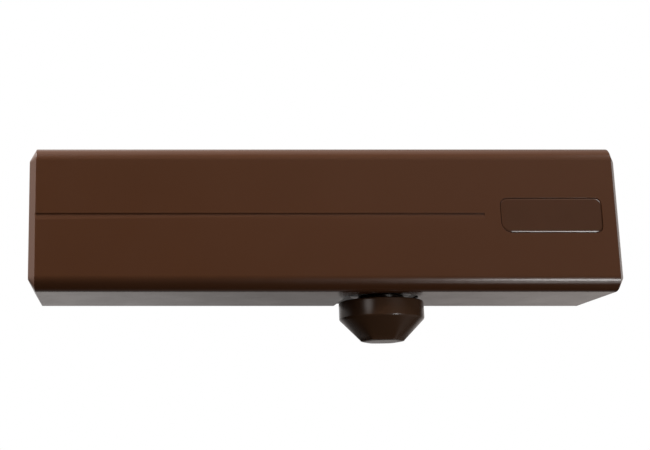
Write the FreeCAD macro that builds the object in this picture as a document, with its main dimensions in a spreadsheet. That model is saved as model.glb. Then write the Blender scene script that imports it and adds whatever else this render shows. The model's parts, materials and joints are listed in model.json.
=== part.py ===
"""An overhead door closer: a rack and pinion works in a cast housing under a snap-on moulded cover.

The wall is the plane Y = 0 and the front of the cover faces -Y. +X runs to the right and +Z up. The origin is
the centre of the four fixing holes. All lengths are in millimetres, with the door closed.
"""

import FreeCAD, Part

import math
import os
import re

import Sketcher
from FreeCAD import Placement, Rotation, Vector

# Driving sizes: name, value, what it is
SIZES = (
    ("cover_length", 243.0, "cover, end face to end face"),
    ("cover_height", 60.0, "cover, top to bottom"),
    ("cover_wall", 2.2, "cover, moulded wall"),
    ("cover_end_wall", 3.6, "cover, wall at both ends"),
    ("cover_edge_radius", 6.0, "cover, long front edges"),
    ("bevel_length", 3.0, "end bevel, measured along the cover"),
    ("bevel_inset", 5.0, "end bevel, measured across the end face"),
    ("cover_gap", 0.8, "free space between cover and housing"),
    ("grip_gap", 0.15, "free space under the cover's grip ribs"),
    ("grip_width", 1.6, "grip ribs, width"),
    ("grip_length", 16.0, "grip ribs, length from the wall outwards"),
    ("grip_inset", 12.0, "grip ribs, from the end face of the block"),
    ("end_grip_place", 8.0, "grip ribs at the ends, distance from mid-height"),
    ("slot_width", 31.0, "open-backed cut-outs for the spindle, width"),
    ("slot_corner", 0.5, "cut-outs, chamfer at the mouth"),
    ("channel_gap", 6.65, "channel on the front, from its end to the badge pocket"),
    ("channel_top", 1.7, "channel, height of its upper edge"),
    ("channel_width", 2.9, "channel, width"),
    ("channel_cut", 0.45, "channel, depth at its upper edge"),
    ("badge_inset", 29.1, "badge plate, its centre from the right end of the cover"),
    ("badge_rise", 0.75, "badge plate, height of its centre"),
    ("badge_length", 41.5, "badge pocket, length"),
    ("badge_height", 14.5, "badge pocket, height"),
    ("badge_corner", 2.8, "badge pocket, corner radius"),
    ("badge_key_corner", 4.4, "badge pocket, radius of the lower left corner"),
    ("badge_gap", 0.25, "free space round the badge plate"),
    ("badge_thickness", 1.0, "badge plate, thickness"),
    ("badge_bevel", 0.35, "badge plate, bevel of its front edge"),
    ("back_wall", 4.45, "housing, wall between the end plugs' thread and the back"),
    ("front_wall", 1.45, "housing, wall between the end plugs' thread and the front"),
    ("housing_edge_radius", 5.0, "housing, long front edges"),
    ("lug_length", 13.1, "fixing lugs, length past the block that holds the bore"),
    ("lug_thickness", 10.0, "fixing lugs, thickness"),
    ("lug_corner", 4.0, "fixing lugs, corner radius"),
    ("hole_inset", 6.1, "fixing holes, from the end of the lug"),
    ("hole_spacing_across", 19.0, "fixing holes, spacing up the wall"),
    ("hole_width", 5.5, "fixing holes, diameter"),
    ("screw_seat_width", 10.4, "seats of the fixing screws, diameter"),
    ("screw_seat_depth", 4.0, "seats of the fixing screws, depth"),
    ("spindle_place", 26.3, "spindle axis, right of the middle"),
    ("bore_radius", 18.0, "main bore"),
    ("boss_radius", 14.8, "bearing bosses"),
    ("boss_height", 2.0, "bearing bosses, above the housing"),
    ("running_gap", 0.05, "radial clearance of running fits"),
    ("thread_gap", 0.05, "radial clearance of screwed pieces"),
    ("seat_gap", 0.03, "clearance of pressed pieces and seals"),
    ("plug_shoulder", 1.5, "end plugs, thread past the bore's radius"),
    ("end_plug_length", 12.0, "end plugs, threaded length"),
    ("end_plug_neck", 6.0, "end plugs, neck in the bore"),
    ("spanner_spacing", 25.0, "pin spanner holes, spacing"),
    ("spanner_radius", 2.0, "pin spanner holes, radius"),
    ("spanner_depth", 4.0, "pin spanner holes, depth"),
    ("large_ring_wire", 2.0, "sealing rings of the end plugs, section"),
    ("small_ring_wire", 1.2, "small sealing rings, section"),
    ("bush_stand", 2.0, "spindle bushes, how far they stand into the bore"),
    ("bush_wall", 3.0, "spindle bushes, wall"),
    ("bearing_cap_radius", 12.5, "bearing caps, thread"),
    ("bearing_cap_length", 5.0, "bearing caps, length"),
    ("bearing_cap_lip", 1.0, "bearing caps, outer lip"),
    ("bearing_cap_slot", 2.0, "bearing caps, width of the driver slot"),
    ("bearing_cap_slot_depth", 0.8, "bearing caps, depth of the driver slot"),
    ("lip_gap", 0.8, "free space between bearing cap lip and spindle"),
    ("seal_wall", 2.4, "shaft seals, wall"),
    ("seal_lip", 1.1, "shaft seals, thickness of the lip"),
    ("tooth_count", 10.0, "pinion, number of teeth"),
    ("tooth_module", 1.6, "pinion, module"),
    ("tooth_angle", 20.0, "pinion, pressure angle in degrees"),
    ("tooth_shift", 0.5, "pinion, profile shift in modules"),
    ("tip_cut", 0.4, "pinion, amount taken off the tips"),
    ("root_clearance", 0.4, "free space at the roots of the teeth"),
    ("tooth_backlash", 0.06, "amount taken off each flank of the rack"),
    ("end_play", 0.3, "free space of the pinion between its bushes"),
    ("journal_radius", 8.0, "spindle journals"),
    ("journal_inset", 0.1, "spindle journals, below the ends of the bosses"),
    ("square_width", 11.0, "square spindle ends, across flats"),
    ("square_corner", 7.3, "square spindle ends, radius of the turned corners"),
    ("spindle_stand", 3.3, "spindle ends, above the cover"),
    ("spindle_turn", -9.0, "turn of the squares with the door closed, in degrees"),
    ("end_hole_radius", 2.5, "threaded holes in the spindle ends, core radius"),
    ("end_hole_depth", 14.0, "threaded holes in the spindle ends, depth"),
    ("rack_teeth", 9.0, "rack, number of teeth"),
    ("rack_teeth_left", 2.0, "rack teeth left of the spindle with the door closed"),
    ("window_clearance", 0.6, "free space round the pinion in the piston"),
    ("flat_gap", 0.6, "free space between the piston's flats and the spindle bushes"),
    ("window_end", 1.9, "window, length past the last rack tooth"),
    ("piston_head", 16.0, "piston, solid head under the springs"),
    ("piston_rest_gap", 0.6, "free space between piston and right end plug"),
    ("spigot_length", 5.0, "piston spigot that centres the inner spring"),
    ("spring_side_gap", 0.4, "free space between a spring and what centres it"),
    ("check_rise", 9.0, "one-way valve, height above the bore axis"),
    ("check_pocket_radius", 2.8, "one-way valve, pocket radius"),
    ("check_pocket_depth", 10.5, "one-way valve, pocket depth"),
    ("check_passage_radius", 1.75, "one-way valve, passage radius"),
    ("check_ball_radius", 2.5, "one-way valve, ball radius"),
    ("check_play", 0.05, "free space between the ball and its seat"),
    ("retainer_length", 3.5, "one-way valve, retainer length"),
    ("retainer_hole_radius", 1.2, "one-way valve, retainer hole"),
    ("outer_spring_wire", 5.0, "outer spring, wire diameter"),
    ("outer_spring_turns", 6.5, "outer spring, turns"),
    ("outer_spring_gap", 1.0, "free space between outer spring and bore"),
    ("inner_spring_wire", 3.5, "inner spring, wire diameter"),
    ("inner_spring_turns", 9.5, "inner spring, turns"),
    ("inner_spring_gap", 0.8, "free space between the springs"),
    ("spring_end_gap", 0.1, "free space at the ends of the springs"),
    ("seat_thickness", 6.0, "spring seat, thickness"),
    ("seat_rim_gap", 0.3, "free space between spring seat and bore"),
    ("seat_hub", 4.0, "spring seat, hub length"),
    ("seat_travel", 9.0, "spring seat, travel"),
    ("seat_play", 0.3, "free space between spring seat and screw collar"),
    ("screw_radius", 5.0, "adjusting screw, shank and thread"),
    ("screw_inset", 1.0, "adjusting screw, below the plug's outer face"),
    ("screw_overrun", 2.0, "adjusting screw, thread past the seat at full travel"),
    ("collar_radius", 8.0, "adjusting screw, collar radius"),
    ("collar_length", 4.0, "adjusting screw, collar length"),
    ("collar_play", 0.1, "free space between collar and plug"),
    ("socket_width", 5.0, "adjusting screw, hexagon socket across flats"),
    ("socket_depth", 6.0, "adjusting screw, hexagon socket depth"),
    ("valve_radius", 3.5, "regulating screws, thread"),
    ("valve_rise", 20.0, "regulating screws, from mid-height"),
    ("valve_depth", 9.0, "regulating screws, from the wall"),
    ("valve_inset", 0.5, "regulating screws, below the end face"),
    ("valve_thread", 5.5, "regulating screws, threaded length"),
    ("valve_body", 9.0, "regulating screws, length without the needle"),
    ("needle_radius", 1.3, "regulating screws, needle at its root"),
    ("needle_tip_radius", 0.4, "regulating screws, needle at its tip"),
    ("needle_length", 4.5, "regulating screws, needle length"),
    ("driver_slot_width", 0.9, "regulating screws, slot width"),
    ("driver_slot_depth", 1.2, "regulating screws, slot depth"),
    ("oil_channel_radius", 1.6, "oil channels along the housing"),
    ("port_radius", 1.5, "oil ports between channel and bore"),
    ("port_overrun", 3.0, "oil channels, length past the last port"),
    ("end_port_inset", 21.0, "ports by an end plug, from the end face"),
    ("closing_port_place", 11.7, "far port of the closing channel, right of the spindle"),
    ("latching_port_inset", 36.0, "far port of the latching channel, from the end face"),
    ("backcheck_port_inset", 60.0, "far port of the back-check channel, from the end face"),
    ("port_ball_inset", 3.0, "balls in the ports, below the surface"),
    ("cap_radius", 17.55, "spindle cap, round band"),
    ("cap_gap", 1.66, "free space between cover and spindle cap"),
    ("cap_band", 7.35, "spindle cap, height of the round band"),
    ("cap_facet", 8.8, "spindle cap, height of the facets"),
    ("cap_end", 0.6, "spindle cap, height of the rounded end"),
    ("cap_facet_radius", 9.4, "spindle cap, corners at the foot of the facets"),
    ("cap_end_radius", 8.2, "spindle cap, corners of the end face"),
    ("cap_wall", 2.0, "spindle cap, wall"),
    ("cap_socket_radius", 9.6, "spindle cap, boss that holds the spindle"),
    ("cap_socket_gap", 0.1, "free space round the spindle in its socket"),
    ("cap_hollow", 7.0, "spindle cap, depth of the hollow"),
    ("cap_boss_gap", 0.3, "free space between the cap's boss and the bearing cap"),
    ("cap_peg_length", 6.0, "spindle cap, peg that holds in the spindle's end hole"),
    ("cap_peg_gap", 0.1, "free space round the peg"),
    ("cut_margin", 1.0, "how far cutting shapes stand past a face"),
)

# Lengths that follow from the driving sizes
DERIVED = {
    "cavity_half": "cover_length / 2 - cover_end_wall",
    "cavity_rise": "cover_height / 2 - cover_wall",
    "housing_half": "cavity_half - cover_gap",
    "housing_rise": "cavity_rise - cover_gap",
    "end_plug_radius": "bore_radius + plug_shoulder",
    "centre_depth": "back_wall + end_plug_radius + thread_gap",
    "housing_depth": "centre_depth + end_plug_radius + thread_gap + front_wall",
    "cover_depth": "housing_depth + cover_gap + cover_wall",
    "barrel_half": "housing_half - lug_length",
    "hole_place": "housing_half - hole_inset",
    "grip_place": "barrel_half - grip_inset",
    "boss_top": "housing_rise + boss_height",
    "plug_reach": "end_plug_length + end_plug_neck",
    "plug_face": "barrel_half - plug_reach",
    "plug_neck_radius": "bore_radius - running_gap",
    "large_ring_radius": "bore_radius - seat_gap - large_ring_wire / 2",
    "plug_groove_radius": "large_ring_radius - large_ring_wire / 2 - seat_gap",
    "pitch_radius": "tooth_module * tooth_count / 2",
    "tooth_pitch": "pi * tooth_module",
    "shift_length": "tooth_module * tooth_shift",
    "tip_radius": "pitch_radius + tooth_module + shift_length - tip_cut",
    "root_radius": "pitch_radius + shift_length - tooth_module - root_clearance",
    "rack_line": "pitch_radius + shift_length",
    "rack_tip": "rack_line - tooth_module",
    "rack_root": "tip_radius + root_clearance",
    "bush_radius": "journal_radius + bush_wall",
    "bush_start": "bore_radius - bush_stand",
    "bush_end": "boss_top - bearing_cap_length",
    "journal_reach": "boss_top - journal_inset",
    "spindle_reach": "cover_height / 2 + spindle_stand",
    "seal_radius": "journal_radius + seal_wall",
    "window_left": "rack_teeth_left * tooth_pitch + window_end",
    "window_right": "(rack_teeth - rack_teeth_left) * tooth_pitch + window_end",
    "window_side": "tip_radius + window_clearance",
    "piston_radius": "bore_radius - running_gap",
    "piston_left": "spindle_place - window_left - piston_head",
    "piston_right": "plug_face - piston_rest_gap",
    "screw_collar_end": "collar_play + collar_length",
    "seat_place": "-plug_face + screw_collar_end + seat_play",
    "seat_face": "seat_place + seat_thickness",
    "spring_room": "piston_left - seat_face - 2 * spring_end_gap",
    "outer_spring_radius": "bore_radius - outer_spring_gap - outer_spring_wire / 2",
    "inner_spring_outside": "outer_spring_radius - outer_spring_wire / 2 - inner_spring_gap",
    "inner_spring_radius": "inner_spring_outside - inner_spring_wire / 2",
    "spigot_radius": "inner_spring_radius - inner_spring_wire / 2 - spring_side_gap",
    "screw_seat_end": "plug_reach + screw_collar_end + seat_play + seat_thickness + seat_hub",
    "screw_length": "screw_seat_end + seat_travel + screw_overrun",
    "small_groove": "small_ring_wire + 2 * seat_gap",
    "screw_groove_place": "end_plug_length",
    "valve_groove_place": "valve_thread + valve_inset",
    "valve_offset": "centre_depth - valve_depth",
    "valve_distance": "sqrt(valve_offset ^ 2 + valve_rise ^ 2)",
    "port_ball_reach": "housing_rise * valve_distance / valve_rise - port_ball_inset",
    "end_port": "barrel_half - end_port_inset",
    "closing_port": "spindle_place + closing_port_place",
    "latching_port": "barrel_half - latching_port_inset",
    "backcheck_port": "backcheck_port_inset - barrel_half",
    "cap_top": "cover_height / 2 + cap_gap",
    "badge_place": "cover_length / 2 - badge_inset",
    "badge_left": "badge_place - badge_length / 2",
    "badge_right": "badge_place + badge_length / 2",
    "badge_low": "badge_rise - badge_height / 2",
    "badge_high": "badge_rise + badge_height / 2",
    "channel_end": "badge_left - channel_gap",
}

SIZE_NAMES = {name for name, size, note in SIZES}
TOLERANCE = 1e-3

# A turned piece is drawn along its own +Z. These lay it along the housing, pointing inwards from either end.
FROM_LEFT_END = Rotation(Vector(0, 1, 0), 90)
FROM_RIGHT_END = Rotation(Vector(0, 1, 0), -90)
UPSIDE_DOWN = Rotation(Vector(1, 0, 0), 180)
UPRIGHT = Rotation()

document = FreeCAD.newDocument("door_closer")


def make_sheet():
    """Write every driving size into the document's sheet, one alias each."""
    sheet = document.addObject("Spreadsheet::Sheet", "Sizes")
    for row, (name, size, note) in enumerate(SIZES, 1):
        sheet.set(f"A{row}", name)
        sheet.set(f"B{row}", str(size))
        sheet.set(f"C{row}", note)
        sheet.setAlias(f"B{row}", name)
    document.recompute()
    return sheet


sheet = make_sheet()


def expression(formula):
    """Turn a formula in size names into one that reads the sheet."""

    def resolve(match):
        word = match.group(0)
        if word in DERIVED:
            return f"({expression(DERIVED[word])})"
        return f"Sizes.{word}" if word in SIZE_NAMES else word

    return re.sub(r"[a-z][a-z_]+", resolve, str(formula))


def value(formula):
    """Work out a formula in size names."""
    return float(sheet.evalExpression(expression(formula)))


def bind(thing, **formulas):
    """Tie properties of an object to formulas."""
    for name, formula in formulas.items():
        thing.setExpression(name, expression(formula))


def place(thing, along=0, out=0, up=0, rotation=UPRIGHT):
    """Put an object at a place that follows the sizes. out is the place along Y, so it is mostly negative."""
    thing.Placement = Placement(Vector(value(along), value(out), value(up)), rotation)
    for axis, formula in (("x", along), ("y", out), ("z", up)):
        thing.setExpression(f"Placement.Base.{axis}", expression(formula))


def new_part(kind, name, **formulas):
    """Add an object and tie its sizes."""
    thing = document.addObject(kind, name)
    bind(thing, **formulas)
    return thing


def join(kind, name, pieces):
    """A fusion, compound or common part of several objects."""
    joined = document.addObject(kind, name)
    if kind == "Part::Compound":
        joined.Links = pieces
    else:
        joined.Shapes = pieces
    return joined


def cut(name, base, tool):
    """One object less another."""
    result = document.addObject("Part::Cut", name)
    result.Base = base
    result.Tool = tool
    return result


def new_sketch(body, plane, name, offset=0):
    """A sketch on one of the body's origin planes, moved along the plane's normal."""
    sketch = body.newObject("Sketcher::SketchObject", name)
    support = next(item for item in body.Origin.OriginFeatures if item.Role == plane)
    sketch.AttachmentSupport = (support, [""])
    sketch.MapMode = "FlatFace"
    sketch.AttachmentOffset = Placement(Vector(0, 0, value(offset)), Rotation())
    sketch.setExpression("AttachmentOffset.Base.z", expression(offset))
    return sketch


def tie_point(sketch, curve, point, along, up):
    """Hold a sketch point at a place given by two formulas."""
    for kind, formula in (("DistanceX", along), ("DistanceY", up)):
        rule = Sketcher.Constraint(kind, -1, 1, curve, point, value(formula))
        index = sketch.addConstraint(rule)
        sketch.setExpression(f"Constraints[{index}]", expression(formula))


def polygon(sketch, corners):
    """A closed loop of straight lines through corners given as pairs of formulas."""
    first = sketch.GeometryCount
    points = [Vector(value(along), value(up), 0) for along, up in corners]
    count = len(points)
    for index in range(count):
        sketch.addGeometry(Part.LineSegment(points[index], points[(index + 1) % count]), False)
    for index in range(count):
        following = first + (index + 1) % count
        sketch.addConstraint(Sketcher.Constraint("Coincident", first + index, 2, following, 1))
    for index, (along, up) in enumerate(corners):
        tie_point(sketch, first + index, 1, along, up)


def rectangle(sketch, left, right, low, high):
    polygon(sketch, [(left, low), (right, low), (right, high), (left, high)])


def circle(sketch, along, up, radius):
    centre = Vector(value(along), value(up), 0)
    curve = sketch.addGeometry(Part.Circle(centre, Vector(0, 0, 1), value(radius)), False)
    tie_point(sketch, curve, 3, along, up)
    index = sketch.addConstraint(Sketcher.Constraint("Radius", curve, value(radius)))
    sketch.setExpression(f"Constraints[{index}]", expression(radius))


def hexagon(sketch, across_flats):
    """A hexagon round the sketch's origin, with a corner on its first axis."""
    corners = []
    for number in range(6):
        reach = f"{across_flats} / sqrt(3)"
        corners.append((f"{reach} * cos({60 * number}deg)", f"{reach} * sin({60 * number}deg)"))
    polygon(sketch, corners)


def extrude(body, kind, sketch, length=None, both_ways=False, backwards=False):
    """A pad or pocket from a sketch. A pocket with no length goes through everything."""
    before = body.Shape.Volume if body.Tip else 0
    feature = body.newObject(f"PartDesign::{kind}", f"{sketch.Name}_{kind.lower()}")
    feature.Profile = sketch
    feature.Midplane = both_ways
    feature.Reversed = backwards
    if length is None:
        feature.Type = "ThroughAll"
    else:
        bind(feature, Length=length)
    body.Tip = feature
    document.recompute()
    change = body.Shape.Volume - before
    if (change if kind == "Pad" else -change) < TOLERANCE:
        raise RuntimeError(f"{feature.Name} changed nothing")
    return feature


def revolve(body, sketch):
    feature = body.newObject("PartDesign::Revolution", f"{sketch.Name}_turned")
    feature.Profile = sketch
    feature.ReferenceAxis = (sketch, ["V_Axis"])
    feature.Angle = 360
    body.Tip = feature
    document.recompute()
    return feature


def dress(body, kind, name, wanted, **formulas):
    """A fillet or chamfer on the edges of the body that are wanted."""
    base = body.Tip
    edges = [f"Edge{number}" for number, edge in enumerate(base.Shape.Edges, 1) if wanted(edge)]
    feature = body.newObject(f"PartDesign::{kind}", name)
    feature.Base = (base, edges)
    if "Size2" in formulas:
        feature.ChamferType = "Two distances"
    bind(feature, **formulas)
    body.Tip = feature
    document.recompute()
    return feature


def new_body(name):
    body = document.addObject("PartDesign::Body", name)
    body.Label = name
    return body


def turned(name, outline):
    """A turned piece from corners given as radius and place along its axis."""
    body = new_body(name)
    sketch = new_sketch(body, "XZ_Plane", f"{name}_outline")
    polygon(sketch, outline)
    revolve(body, sketch)
    return body


def ring(name, radius, wire):
    """A sealing ring round its own Z axis."""
    torus = new_part("Part::Torus", name, Radius1=radius, Radius2=f"{wire} / 2")
    torus.Label = name
    return torus


def near(one, other):
    return abs(one - other) < TOLERANCE


def spans(edge, length_along, length_out, length_up):
    """Whether the edge's box has these lengths."""
    box = edge.BoundBox
    return near(box.XLength, length_along) and near(box.YLength, length_out) and near(box.ZLength, length_up)


def round_long_edges(body, name, front, length, radius):
    """Round the two edges that run the whole length along a front face."""
    face, reach = value(front), value(length)
    dress(body, "Fillet", name, lambda edge: spans(edge, reach, 0, 0) and near(edge.BoundBox.YMin, face),
          Radius=radius)


def cut_badge_pocket(body):
    sketch = new_sketch(body, "XZ_Plane", "badge_pocket", "cover_depth")
    rectangle(sketch, "badge_left", "badge_right", "badge_low", "badge_high")
    extrude(body, "Pocket", sketch, "badge_thickness")
    round_badge_corners(body, "badge_pocket", 0)


def round_badge_corners(body, name, inset):
    """Round the four corners, the lower left one more than the others."""
    left = value(f"badge_left + {inset}")
    right = value(f"badge_right - {inset}")
    low = value(f"badge_low + {inset}")
    high = value(f"badge_high - {inset}")
    thickness = value("badge_thickness")

    def corner(edge, along, up):
        box = edge.BoundBox
        return spans(edge, 0, thickness, 0) and near(box.XMin, along) and near(box.ZMin, up)

    def plain_corner(edge):
        return corner(edge, right, low) or corner(edge, right, high) or corner(edge, left, high)

    def key_corner(edge):
        return corner(edge, left, low)

    dress(body, "Fillet", f"{name}_corners", plain_corner, Radius=f"badge_corner - {inset}")
    dress(body, "Fillet", f"{name}_key", key_corner, Radius=f"badge_key_corner - {inset}")


def cut_spindle_slots(body):
    """The open-backed cut-outs above and below, which let the cover pass the spindle."""
    round_end = new_sketch(body, "XY_Plane", "slot_round_end")
    circle(round_end, "spindle_place", "-centre_depth", "slot_width / 2")
    extrude(body, "Pocket", round_end, both_ways=True)
    mouth = new_sketch(body, "XY_Plane", "slot_mouth")
    half = "slot_width / 2"
    wide = "slot_width / 2 + slot_corner + cut_margin"
    corners = [(f"spindle_place - {half}", "-centre_depth")]
    corners += [(f"spindle_place + {half}", "-centre_depth"), (f"spindle_place + {half}", "-slot_corner")]
    corners += [(f"spindle_place + {wide}", "cut_margin"), (f"spindle_place - ({wide})", "cut_margin")]
    corners += [(f"spindle_place - {half}", "-slot_corner")]
    polygon(mouth, corners)
    extrude(body, "Pocket", mouth, both_ways=True)


def add_grip_ribs(body):
    """Ribs inside the cover that grip the housing above, below and at both ends."""
    sides = new_sketch(body, "XZ_Plane", "grip_ribs")
    for side in ("", "-"):
        left, right = f"{side}grip_place - grip_width / 2", f"{side}grip_place + grip_width / 2"
        rectangle(sides, left, right, "housing_rise + grip_gap", "cavity_rise + cover_wall / 2")
        rectangle(sides, left, right, "-cavity_rise - cover_wall / 2", "-housing_rise - grip_gap")
    extrude(body, "Pad", sides, "grip_length")
    ends = new_sketch(body, "XZ_Plane", "end_grip_ribs")
    for side in ("", "-"):
        low, high = f"{side}end_grip_place - grip_width / 2", f"{side}end_grip_place + grip_width / 2"
        rectangle(ends, "housing_half + grip_gap", "cavity_half + cover_end_wall / 2", low, high)
        rectangle(ends, "-cavity_half - cover_end_wall / 2", "-housing_half - grip_gap", low, high)
    extrude(body, "Pad", ends, "lug_thickness")


def make_cover():
    body = new_body("cover")
    section = new_sketch(body, "YZ_Plane", "cover_section")
    rectangle(section, "-cover_depth", "0", "-cover_height / 2", "cover_height / 2")
    extrude(body, "Pad", section, "cover_length", both_ways=True)
    round_long_edges(body, "cover_edges", "-cover_depth", "cover_length", "cover_edge_radius")

    def end_edge(edge):
        return near(edge.BoundBox.XLength, 0) and edge.BoundBox.YMin < -TOLERANCE

    dress(body, "Chamfer", "end_bevels", end_edge, Size="bevel_length", Size2="bevel_inset")
    cavity = new_sketch(body, "XZ_Plane", "cavity")
    rectangle(cavity, "-cavity_half", "cavity_half", "-cavity_rise", "cavity_rise")
    extrude(body, "Pocket", cavity, "cover_depth - cover_wall", backwards=True)
    round_long_edges(body, "cavity_edges", "cover_wall - cover_depth", "2 * cavity_half",
                     "cover_edge_radius - cover_wall")
    cut_spindle_slots(body)
    channel = new_sketch(body, "YZ_Plane", "front_channel", "channel_end")
    foot = "channel_top - channel_width"
    polygon(channel, [
        ("-cover_depth - cut_margin", "channel_top"),
        ("-cover_depth + channel_cut", "channel_top"),
        ("-cover_depth", foot),
        ("-cover_depth - cut_margin", foot),
    ])
    extrude(body, "Pocket", channel, "channel_end + cover_length / 2 + cut_margin")
    cut_badge_pocket(body)
    add_grip_ribs(body)
    return body


def make_badge_plate():
    body = new_body("badge_plate")
    sketch = new_sketch(body, "XZ_Plane", "badge_outline", "cover_depth")
    rectangle(sketch, "badge_left + badge_gap", "badge_right - badge_gap",
              "badge_low + badge_gap", "badge_high - badge_gap")
    extrude(body, "Pad", sketch, "badge_thickness", backwards=True)
    round_badge_corners(body, "badge_plate", "badge_gap")
    front = value("-cover_depth")
    dress(body, "Chamfer", "badge_bevels", lambda edge: near(edge.BoundBox.YMax, front), Size="badge_bevel")
    return body


def cut_fixing_holes(body):
    holes = new_sketch(body, "XZ_Plane", "fixing_holes")
    seats = new_sketch(body, "XZ_Plane", "screw_seats", "lug_thickness")
    for along in ("-hole_place", "hole_place"):
        for up in ("-hole_spacing_across / 2", "hole_spacing_across / 2"):
            circle(holes, along, up, "hole_width / 2")
            circle(seats, along, up, "screw_seat_width / 2")
    extrude(body, "Pocket", holes, "lug_thickness + cut_margin", backwards=True)
    extrude(body, "Pocket", seats, "screw_seat_depth")


# Regulating screws: name, end of the housing, side of mid-height, far port
VALVES = (
    ("closing_valve", "right", "", "closing_port"),
    ("latching_valve", "right", "-", "latching_port"),
    ("backcheck_valve", "left", "", "backcheck_port"),
)


def cut_oil_channels(body):
    """For each regulating screw its bore, the channel past it, and two ports into the main bore."""
    for name, end, side, far_port in VALVES:
        sign = "" if end == "right" else "-"
        backwards = end == "left"
        for use, radius, length in (
            ("bore", "valve_radius + thread_gap", "valve_inset + valve_body"),
            ("channel", "oil_channel_radius", f"barrel_half - {sign}({far_port}) + port_overrun"),
        ):
            sketch = new_sketch(body, "YZ_Plane", f"{name}_{use}", f"{sign}barrel_half")
            circle(sketch, "-valve_depth", f"{side}valve_rise", radius)
            extrude(body, "Pocket", sketch, length, backwards=backwards)
        ports = new_sketch(body, "XY_Plane", f"{name}_ports")
        tilt = math.degrees(math.atan2(value("valve_offset"), value(f"{side}valve_rise")))
        axis_place = Vector(0, value("-centre_depth"), 0)
        ports.AttachmentOffset = Placement(axis_place, Rotation(Vector(1, 0, 0), -tilt))
        ports.setExpression("AttachmentOffset.Base.y", expression("-centre_depth"))
        circle(ports, far_port, "0", "port_radius")
        circle(ports, f"{sign}end_port", "0", "port_radius")
        extrude(body, "Pocket", ports, backwards=True)


def make_housing():
    body = new_body("housing")
    section = new_sketch(body, "YZ_Plane", "barrel_section")
    rectangle(section, "-housing_depth", "0", "-housing_rise", "housing_rise")
    extrude(body, "Pad", section, "2 * barrel_half", both_ways=True)
    round_long_edges(body, "barrel_edges", "-housing_depth", "2 * barrel_half", "housing_edge_radius")
    lugs = new_sketch(body, "XZ_Plane", "lug_plate")
    rectangle(lugs, "-housing_half", "housing_half", "-housing_rise", "housing_rise")
    extrude(body, "Pad", lugs, "lug_thickness")
    thickness, reach = value("lug_thickness"), value("housing_half")

    def lug_edge(edge):
        return spans(edge, 0, thickness, 0) and near(abs(edge.BoundBox.XMin), reach)

    dress(body, "Fillet", "lug_corners", lug_edge, Radius="lug_corner")
    bosses = new_sketch(body, "XY_Plane", "bearing_bosses")
    circle(bosses, "spindle_place", "-centre_depth", "boss_radius")
    extrude(body, "Pad", bosses, "2 * boss_top", both_ways=True)
    feet = new_sketch(body, "XY_Plane", "boss_feet")
    rectangle(feet, "spindle_place - boss_radius", "spindle_place + boss_radius", "-centre_depth", "0")
    extrude(body, "Pad", feet, "2 * boss_top", both_ways=True)
    bore = new_sketch(body, "YZ_Plane", "main_bore")
    circle(bore, "-centre_depth", "0", "bore_radius")
    extrude(body, "Pocket", bore, both_ways=True)
    for name, place_along, backwards in (("left", "-barrel_half", True), ("right", "barrel_half", False)):
        seat = new_sketch(body, "YZ_Plane", f"{name}_plug_seat", place_along)
        circle(seat, "-centre_depth", "0", "end_plug_radius + thread_gap")
        extrude(body, "Pocket", seat, "end_plug_length", backwards=backwards)
    cross_bore = new_sketch(body, "XY_Plane", "cross_bore")
    circle(cross_bore, "spindle_place", "-centre_depth", "bush_radius")
    extrude(body, "Pocket", cross_bore, both_ways=True)
    for name, place_up, backwards in (("lower", "-boss_top", True), ("upper", "boss_top", False)):
        seat = new_sketch(body, "XY_Plane", f"{name}_cap_seat", place_up)
        circle(seat, "spindle_place", "-centre_depth", "bearing_cap_radius + thread_gap")
        extrude(body, "Pocket", seat, "bearing_cap_length", backwards=backwards)
    cut_fixing_holes(body)
    cut_oil_channels(body)
    return body


def make_port_balls():
    """Steel balls that close the outer ends of the drilled ports."""
    balls = []
    for name, end, side, far_port in VALVES:
        sign = "" if end == "right" else "-"
        for number, along in enumerate((far_port, f"{sign}end_port"), 1):
            ball = new_part("Part::Sphere", f"{name}_port_ball_{number}", Radius="port_radius")
            place(ball, along, "port_ball_reach * valve_offset / valve_distance - centre_depth",
                  f"{side}port_ball_reach * valve_rise / valve_distance")
            balls.append(ball)
    group = join("Part::Compound", "port_balls", balls)
    group.Label = "port_balls"
    return group


def make_end_plug(end, hole_radius):
    """A screwed plug with a ring groove in its neck and two holes for a pin spanner."""
    groove_end = "plug_reach - large_ring_wire / 2"
    groove_start = f"{groove_end} - large_ring_wire - 2 * seat_gap"
    body = turned(f"end_plug_{end}", [
        (hole_radius, "0"),
        ("end_plug_radius", "0"),
        ("end_plug_radius", "end_plug_length"),
        ("plug_neck_radius", "end_plug_length"),
        ("plug_neck_radius", groove_start),
        ("plug_groove_radius", groove_start),
        ("plug_groove_radius", groove_end),
        ("plug_neck_radius", groove_end),
        ("plug_neck_radius", "plug_reach"),
        (hole_radius, "plug_reach"),
    ])
    holes = new_sketch(body, "XY_Plane", f"{end}_spanner_holes")
    for side in ("-", ""):
        circle(holes, "0", f"{side}spanner_spacing / 2", "spanner_radius")
    extrude(body, "Pocket", holes, "spanner_depth", backwards=True)
    return body


def make_end_plugs():
    """Both plugs and their rings. The left plug has a hole for the adjusting screw."""
    pieces = []
    for end, sign, rotation, hole_radius in (
        ("left", "-", FROM_LEFT_END, "screw_radius + running_gap"),
        ("right", "", FROM_RIGHT_END, "0"),
    ):
        plug = make_end_plug(end, hole_radius)
        place(plug, f"{sign}barrel_half", "-centre_depth", 0, rotation)
        seal = ring(f"end_plug_oring_{end}", "large_ring_radius", "large_ring_wire")
        seal_place = f"{sign}(plug_face + large_ring_wire + seat_gap)"
        place(seal, seal_place, "-centre_depth", 0, rotation)
        pieces += [plug, seal]
    return pieces


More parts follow.
